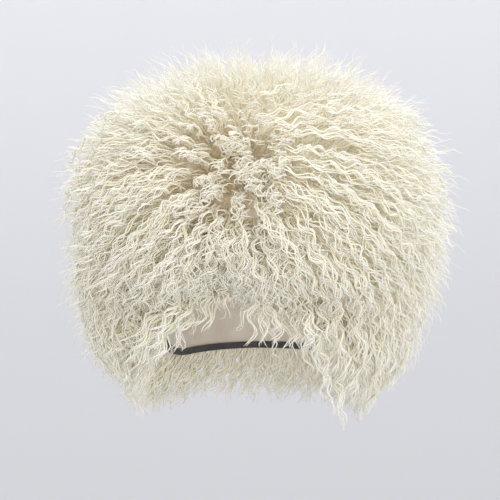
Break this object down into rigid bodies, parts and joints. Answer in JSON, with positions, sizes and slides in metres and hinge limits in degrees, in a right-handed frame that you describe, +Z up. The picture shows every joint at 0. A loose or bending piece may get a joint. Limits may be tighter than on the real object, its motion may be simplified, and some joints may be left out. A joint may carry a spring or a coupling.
{
  "type": "long-wool sheepskin hat",
  "caption": "Rounded brimless hat of sheepskin with a deep coat of long, curly cream wool, its rim arched up over the forehead and low over the ears and nape.",
  "frame": {"origin": "middle of the head opening, level with the rim at the front", "axes": "+Z up through the crown, -Y towards the face side, where the rim arches up, +X to the wearer's left"},
  "size_m": [0.3456, 0.3764, 0.3215],
  "materials": {
    "hide": "matte suede, the flesh side of the skin",
    "wool": "soft curly wool with a low sheen",
    "binding": "matte woven tape"
  },
  "bodies": {
    "root": {"crown_panel": "hide", "side_band": "hide", "crown_wool": "wool", "band_wool": "wool", "rim_binding": "binding"}
  },
  "joints": []
}
